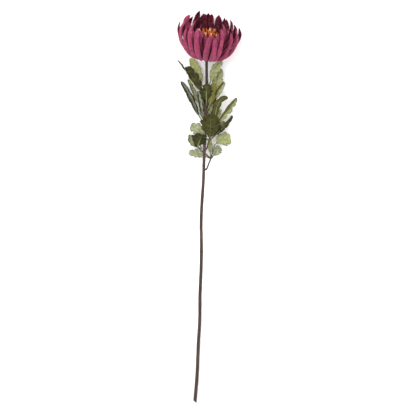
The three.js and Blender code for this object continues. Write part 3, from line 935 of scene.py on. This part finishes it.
class FLOWER_OT_stem(bpy.types.Operator):
    """Draws the stem with its slanted cut end, and the two side shoots"""

    bl_idname = "flower.stem"
    bl_label = "Stem and shoots"

    def execute(self, context):
        settings = context.scene.flower_stem
        material = stem_material(settings)
        spine = stem_spine()
        rows, sides = STEM_ROWS, STEM_COLUMNS
        u = np.linspace(0, 1, rows)
        centre, across, tangent, outward = spine.at(u)
        radius = spine.width_at(u)
        angles = round_angles(sides)
        ribs = settings.rib_depth * np.cos(angles[None] * 7 + 1.5 * np.sin(u[:, None] * 8))
        bumps = np.zeros((rows, sides))
        for r in range(rows):
            for c in range(sides):
                spot = Vector((math.cos(angles[c]) * 2, math.sin(angles[c]) * 2, u[r] * 40))
                bumps[r, c] = noise.noise(spot) * 0.16 * MM
        full = radius[:, None] * 0.985 + ribs * 0.7 + bumps
        for place, size in KNOTS:
            swell = size * MM * np.exp(-((u - place) * spine.length / KNOT_LENGTH) ** 2)
            full += swell[:, None] * (0.6 + 0.4 * np.cos(angles - place * 40))[None]
        slant = np.zeros((rows, sides))
        slant[0] = -settings.cut_slope * full[0] * np.cos(angles)
        slant[1] = slant[0] * 0.6
        points = (centre[:, None] + across[:, None] * (full * np.cos(angles))[..., None]
                  + outward[:, None] * (full * np.sin(angles))[..., None]
                  + tangent[:, None] * slant[..., None])
        flat, faces = ring_body(points, points[0].mean(axis=0), points[-1].mean(axis=0))
        blush = np.repeat(np.interp(u, [0.55, 0.7, 0.86, 0.95], [0, 0.55, 0.7, 0.1]), sides)
        shade = np.repeat(np.interp(u, [0.86, 0.93, 1], [0, 0.7, 0.85]), sides)
        values = {"blush": np.append(blush, [0, 0]), "shade": np.append(shade, [0, 1]),
                  "pith": np.append(np.zeros(rows * sides), [1, 0])}
        piece = new_piece("stem_skin", mesh_of("stem_skin", [(flat, faces, values)]), material)
        keep(piece, "stem_skin", "stem")
        for node in ("side_shoot_lower", "side_shoot_upper"):
            self.shoot(node, material, spine)
        return {"FINISHED"}

    def shoot(self, node, material, stem):
        """A shoot's skin: its solid, remeshed finely and smoothed, so that forks run together."""
        points, faces = corner_points(node)
        gaps = np.linalg.norm(points[:, None] - stem.points[None], axis=2)
        foot = points[gaps.min(axis=1).argmin()]
        base = stem.points[np.linalg.norm(stem.points - foot, axis=1).argmin()]
        near = points[np.linalg.norm(points - foot, axis=1) < 14 * MM].mean(axis=0)
        way = unit(near - base)
        collar = np.array([base - way * 1.5 * MM, (base + foot) / 2, foot + way * MM, near])
        across = np.repeat(unit(np.cross(way, UP))[None], 4, axis=0)
        outward = np.repeat(np.cross(across[0], way)[None], 4, axis=0)
        radius = np.array([2.6, 2.3, 1.7, 1.2]) * MM
        bodies = [(points, faces, {}), tube(collar, across, outward, radius, 12, {})]
        piece = new_piece(node + "_skin", mesh_of(node + "_skin", bodies), material)
        remesh = piece.modifiers.new("Remesh", "REMESH")
        remesh.mode = "VOXEL"
        remesh.voxel_size = 0.35 * MM
        smooth = piece.modifiers.new("Smooth", "SMOOTH")
        smooth.iterations = 6
        depsgraph = bpy.context.evaluated_depsgraph_get()
        baked = bpy.data.meshes.new_from_object(piece.evaluated_get(depsgraph))
        piece.modifiers.clear()
        piece.data = baked
        for key, value in (("blush", 0.75), ("shade", 0.1), ("pith", 0.0)):
            attribute_layer = baked.attributes.new(key, "FLOAT", "POINT")
            attribute_layer.data.foreach_set("value", [value] * len(baked.vertices))
        baked.shade_smooth()
        keep(piece, "shoot_skin", node)


# ---- copies set out in a spiral ----

GOLDEN_ANGLE = 137.508  # degrees

SPIRAL_INPUTS = (
    ("Count", "NodeSocketInt"), ("Copy", "NodeSocketObject"), ("Foot Inner", "NodeSocketFloat"),
    ("Foot Outer", "NodeSocketFloat"), ("Foot Low", "NodeSocketFloat"),
    ("Foot High", "NodeSocketFloat"), ("Spread", "NodeSocketFloat"), ("Rise", "NodeSocketFloat"),
    ("Jitter", "NodeSocketFloat"), ("Seed", "NodeSocketInt"), ("Material", "NodeSocketMaterial"),
)


def spiral_tree():
    """Sets copies round an axis, each a golden angle on from the last and further out."""
    tree = bpy.data.node_groups.new("Spiral of copies", "GeometryNodeTree")
    for name, kind in SPIRAL_INPUTS:
        tree.interface.new_socket(name=name, in_out="INPUT", socket_type=kind)
    tree.interface.new_socket(name="Geometry", in_out="OUTPUT", socket_type="NodeSocketGeometry")
    given = add(tree, "NodeGroupInput").outputs

    index = add(tree, "GeometryNodeInputIndex").outputs[0]
    middle = add(tree, "ShaderNodeMath", {0: index, 1: 0.5}, operation="ADD").outputs[0]
    share = add(tree, "ShaderNodeMath", {0: middle, 1: given["Count"]},
                operation="DIVIDE").outputs[0]
    root = add(tree, "ShaderNodeMath", {0: share}, operation="SQRT").outputs[0]
    angle = add(tree, "ShaderNodeMath", {0: index, 1: math.radians(GOLDEN_ANGLE)},
                operation="MULTIPLY").outputs[0]
    spread = add(tree, "ShaderNodeMath", {0: given["Spread"], 1: root},
                 operation="MULTIPLY").outputs[0]
    radius, height = (
        add(tree, "ShaderNodeMapRange",
            {"Value": reach, "To Min": given[near], "To Max": given[far]}).outputs["Result"]
        for reach, near, far in ((root, "Foot Inner", "Foot Outer"),
                                 (share, "Foot High", "Foot Low")))

    def around(radius, height):
        """The point at this distance and height, turned round the axis by the angle."""
        point = add(tree, "ShaderNodeCombineXYZ", {"X": radius, "Z": height}).outputs[0]
        return add(tree, "ShaderNodeVectorRotate", {"Vector": point, "Angle": angle},
                   rotation_type="Z_AXIS").outputs[0]

    foot = around(radius, height)
    wobble = add(tree, "FunctionNodeRandomValue",
                 {0: (-1, -1, -1), 1: (1, 1, 1), "Seed": given["Seed"]},
                 data_type="FLOAT_VECTOR").outputs["Value"]
    wobble = add(tree, "ShaderNodeVectorMath", {0: wobble, "Scale": given["Jitter"]},
                 operation="SCALE").outputs[0]
    lean = add(tree, "ShaderNodeVectorMath",
               {0: around(spread, given["Rise"]), 1: wobble}, operation="ADD").outputs[0]
    line = add(tree, "GeometryNodeMeshLine", {"Count": given["Count"]})
    placed = add(tree, "GeometryNodeSetPosition", {"Geometry": line.outputs[0], "Position": foot})
    turned = add(tree, "FunctionNodeAlignEulerToVector", {"Vector": lean}, axis="Z")
    copy = add(tree, "GeometryNodeObjectInfo", {"Object": given["Copy"]})
    size = add(tree, "FunctionNodeRandomValue", {2: 0.85, 3: 1.12, "Seed": given["Seed"]},
               data_type="FLOAT").outputs[1]
    copies = add(tree, "GeometryNodeInstanceOnPoints",
                 {"Points": placed.outputs[0], "Instance": copy.outputs["Geometry"],
                  "Rotation": turned.outputs[0], "Scale": size})
    tone = add(tree, "FunctionNodeRandomValue", {2: 0.0, 3: 1.0, "Seed": 7},
               data_type="FLOAT").outputs[1]
    toned = add(tree, "GeometryNodeStoreNamedAttribute",
                {"Geometry": copies.outputs[0], "Name": "tone", "Value": tone},
                data_type="FLOAT", domain="INSTANCE")
    real = add(tree, "GeometryNodeRealizeInstances", {"Geometry": toned.outputs[0]})
    painted = add(tree, "GeometryNodeSetMaterial",
                  {"Geometry": real.outputs[0], "Material": given["Material"]})
    add(tree, "NodeGroupOutput", {"Geometry": painted.outputs[0]})
    return tree


def spiral_mesh(tree, name, values):
    """The tree's result with these input values, as a plain mesh in the bloom's place."""
    holder = bpy.data.objects.new(name, bpy.data.meshes.new(name))
    bpy.context.scene.collection.objects.link(holder)
    modifier = holder.modifiers.new("Spiral", "NODES")
    modifier.node_group = tree
    for socket in tree.interface.items_tree:
        if socket.in_out == "INPUT":
            modifier[socket.identifier] = values[socket.name]
    depsgraph = bpy.context.evaluated_depsgraph_get()
    mesh = bpy.data.meshes.new_from_object(holder.evaluated_get(depsgraph))
    bpy.data.objects.remove(holder)
    mesh.transform(bloom.matrix())
    return mesh


def hidden_copy(name, bodies):
    """An object for the spiral to copy. It is removed when the copies are real."""
    piece = bpy.data.objects.new(name, mesh_of(name, bodies))
    bpy.context.scene.collection.objects.link(piece)
    return piece


def floret_body(length, radius):
    """A slender trumpet with a flared, five-lobed mouth."""
    rows, sides = 9, 10
    share = np.linspace(0, 1, rows)
    angles = round_angles(sides)
    flare = radius * np.interp(share, [0, 0.5, 0.8, 0.93, 1], [0.35, 0.6, 0.85, 1.3, 0.9])
    lobes = 1 + 0.35 * np.cos(5 * angles)[None] * np.clip((share - 0.75) * 4, 0, 1)[:, None]
    bend = 0.06 * length * np.sin(share * math.pi)
    points = np.zeros((rows, sides, 3))
    points[..., 0] = flare[:, None] * lobes * np.cos(angles) + bend[:, None]
    points[..., 1] = flare[:, None] * lobes * np.sin(angles)
    points[..., 2] = (length * share)[:, None]
    flat, faces = ring_body(points, [0, 0, 0], [0, 0, length * 0.93])
    along = np.append(np.repeat(share, sides), [0, 0.8])
    return flat, faces, {"along": along}


def bract_body(length, half_width):
    """A narrow pointed scale that lies along Z and faces out along X."""
    rows, columns = 10, 7
    share = np.linspace(0, 1, rows)
    t = np.linspace(-1, 1, columns)
    width = half_width * np.sqrt(np.clip(np.sin(math.pi * (0.12 + 0.87 * share)), 0.01, 1))
    front = np.zeros((rows, columns, 3))
    front[..., 0] = 0.25 * length * share[:, None] ** 2 - 0.5 * width[:, None] * t[None] ** 2
    front[..., 1] = width[:, None] * t[None]
    front[..., 2] = length * share[:, None]
    back = front - np.array([0.4 * MM, 0, 0])
    edge = np.maximum(np.abs(np.repeat(t[None], rows, axis=0)), share[:, None] ** 3)
    return shell(front, back, {"margin": edge}, {"margin": edge})


class FLOWER_OT_heart(bpy.types.Operator):
    """Draws the raised heart of disc florets and the green calyx under the bloom"""

    bl_idname = "flower.heart"
    bl_label = "Heart and calyx"

    def execute(self, context):
        settings = context.scene.flower_heart
        tree = spiral_tree()
        length = bloom.heart_high - bloom.heart_low
        floret = hidden_copy("floret_pattern", [floret_body(length + 3.5 * MM, 0.95 * MM)])
        material = floret_material(settings)
        mesh = spiral_mesh(tree, "disc_florets_cluster", {
            "Count": settings.floret_count, "Copy": floret, "Foot Inner": 0.3 * MM,
            "Foot Outer": bloom.heart_radius * 0.45, "Foot Low": bloom.heart_low - 2 * MM,
            "Foot High": bloom.heart_low + 1 * MM, "Spread": 0.32, "Rise": 1.0, "Jitter": 0.17,
            "Seed": 5, "Material": material})
        bpy.data.objects.remove(floret)
        keep(new_piece("disc_florets_cluster", mesh, material), "disc_floret_orange",
             "disc_florets")
        self.calyx(settings, tree)
        bpy.data.node_groups.remove(tree)
        return {"FINISHED"}

    def calyx(self, settings, tree):
        material = bract_material(settings)
        profile = [(0.0, 0.0), (3.0, 0.05), (5.4, 0.6), (7.6, 2.0), (9.6, 4.0), (10.3, 6.4),
                   (10.2, 9.0), (9.4, 12.4), (8.2, 15.6), (6.4, 18.2), (0.0, 18.5)]
        sides = 40
        angles = round_angles(sides)
        rings = np.array([[(r * math.cos(a), r * math.sin(a), h) for a in angles]
                          for r, h in profile[1:-1]]) * MM
        ends = np.array([[0, 0, profile[0][1]], [0, 0, profile[-1][1]]]) * MM
        points, faces = ring_body(rings, *ends)
        mesh = mesh_of("calyx_cup", [(points, faces, {"margin": np.zeros(len(points))})])
        mesh.transform(bloom.matrix())
        keep(new_piece("calyx_cup", mesh, material), "bract_green", "calyx")
        bract = hidden_copy("bract_pattern", [bract_body(10 * MM, 1.7 * MM)])
        scales = spiral_mesh(tree, "calyx_bracts", {
            "Count": settings.bract_count, "Copy": bract, "Foot Inner": 3.0 * MM,
            "Foot Outer": 9.6 * MM, "Foot Low": 2.6 * MM, "Foot High": 0.4 * MM, "Spread": 1.5,
            "Rise": 0.3, "Jitter": 0.08, "Seed": 9, "Material": material})
        bpy.data.objects.remove(bract)
        keep(new_piece("calyx_bracts", scales, material), "bract_green")


# ---- stage ----

FLOOR_REACH = 6.0
ROOM_STRENGTH = 1.16
VIEW_SHIFT = (-3.8 * MM, -4.3 * MM)  # from the middle of the flower to the camera's axis

# Area lights: place, size across and watts.
LAMPS = {"Key light": ((-0.9, 0.9, 2.2), 1.6, 42), "Fill light": ((1.2, -0.6, 1.8), 1.8, 12)}


class FLOWER_OT_stage(bpy.types.Operator):
    """Sets the plain floor, the soft lights and the camera that looks down on the flower"""

    bl_idname = "flower.stage"
    bl_label = "Floor, lights and camera"

    def execute(self, context):
        settings = context.scene.flower_stage
        scene = context.scene
        corners = [(x * FLOOR_REACH, y * FLOOR_REACH, 0)
                   for x, y in ((-1, -1), (1, -1), (1, 1), (-1, 1))]
        mesh = bpy.data.meshes.new("floor")
        mesh.from_pydata(corners, [], [(0, 1, 2, 3)])
        floor = new_piece("floor", mesh, floor_material(settings))
        world = bpy.data.worlds.new("Soft room")
        world.use_nodes = True
        room = world.node_tree.nodes["Background"].inputs
        room["Color"].default_value = (1, 1, 1, 1)
        room["Strength"].default_value = ROOM_STRENGTH
        scene.world = world
        for name, (place, size, watts) in LAMPS.items():
            self.lamp(name, place, size, watts)
        low, high = CAD_BOX
        camera = bpy.data.cameras.new("Camera")
        camera.sensor_width = 36
        camera.lens = 36 * settings.camera_height / settings.view_width
        viewer = bpy.data.objects.new("Camera", camera)
        viewer.location = (*((low[i] + high[i]) / 2 + VIEW_SHIFT[i] for i in range(2)),
                           settings.camera_height)
        scene.collection.objects.link(viewer)
        scene.camera = viewer
        scene.view_settings.view_transform = "Standard"
        return {"FINISHED"}

    def lamp(self, name, place, size, watts):
        light = bpy.data.lights.new(name, "AREA")
        light.size = size
        light.energy = watts
        lamp = bpy.data.objects.new(name, light)
        lamp.location = place
        lamp.rotation_euler = (-Vector(place)).to_track_quat("-Z", "Y").to_euler()
        bpy.context.scene.collection.objects.link(lamp)


# ---- panel and registration ----

class FLOWER_PT_panel(bpy.types.Panel):
    """Buttons that draw the flower, group by group"""

    bl_idname = "FLOWER_PT_panel"
    bl_label = "Spider chrysanthemum"
    bl_space_type = "VIEW_3D"
    bl_region_type = "UI"
    bl_category = "Flower"

    def draw(self, context):
        for operator in OPERATORS:
            self.layout.operator(operator.bl_idname)


OPERATORS = (FLOWER_OT_stem, FLOWER_OT_leaves, FLOWER_OT_heart, FLOWER_OT_petals, FLOWER_OT_stage)
SETTINGS = {"flower_stem": StemSettings, "flower_leaves": LeafSettings,
            "flower_petals": PetalSettings, "flower_heart": HeartSettings,
            "flower_stage": StageSettings}


def register():
    for group in (*SETTINGS.values(), *OPERATORS, FLOWER_PT_panel):
        bpy.utils.register_class(group)
    for name, group in SETTINGS.items():
        setattr(bpy.types.Scene, name, bpy.props.PointerProperty(type=group))


def unregister():
    for name in SETTINGS:
        delattr(bpy.types.Scene, name)
    for group in (FLOWER_PT_panel, *reversed(OPERATORS), *reversed(SETTINGS.values())):
        bpy.utils.unregister_class(group)


def main():
    register()
    bpy.ops.flower.stem()
    bpy.ops.flower.leaves()
    bpy.ops.flower.heart()
    bpy.ops.flower.petals()
    bpy.ops.flower.stage()


if __name__ == "__main__":
    main()
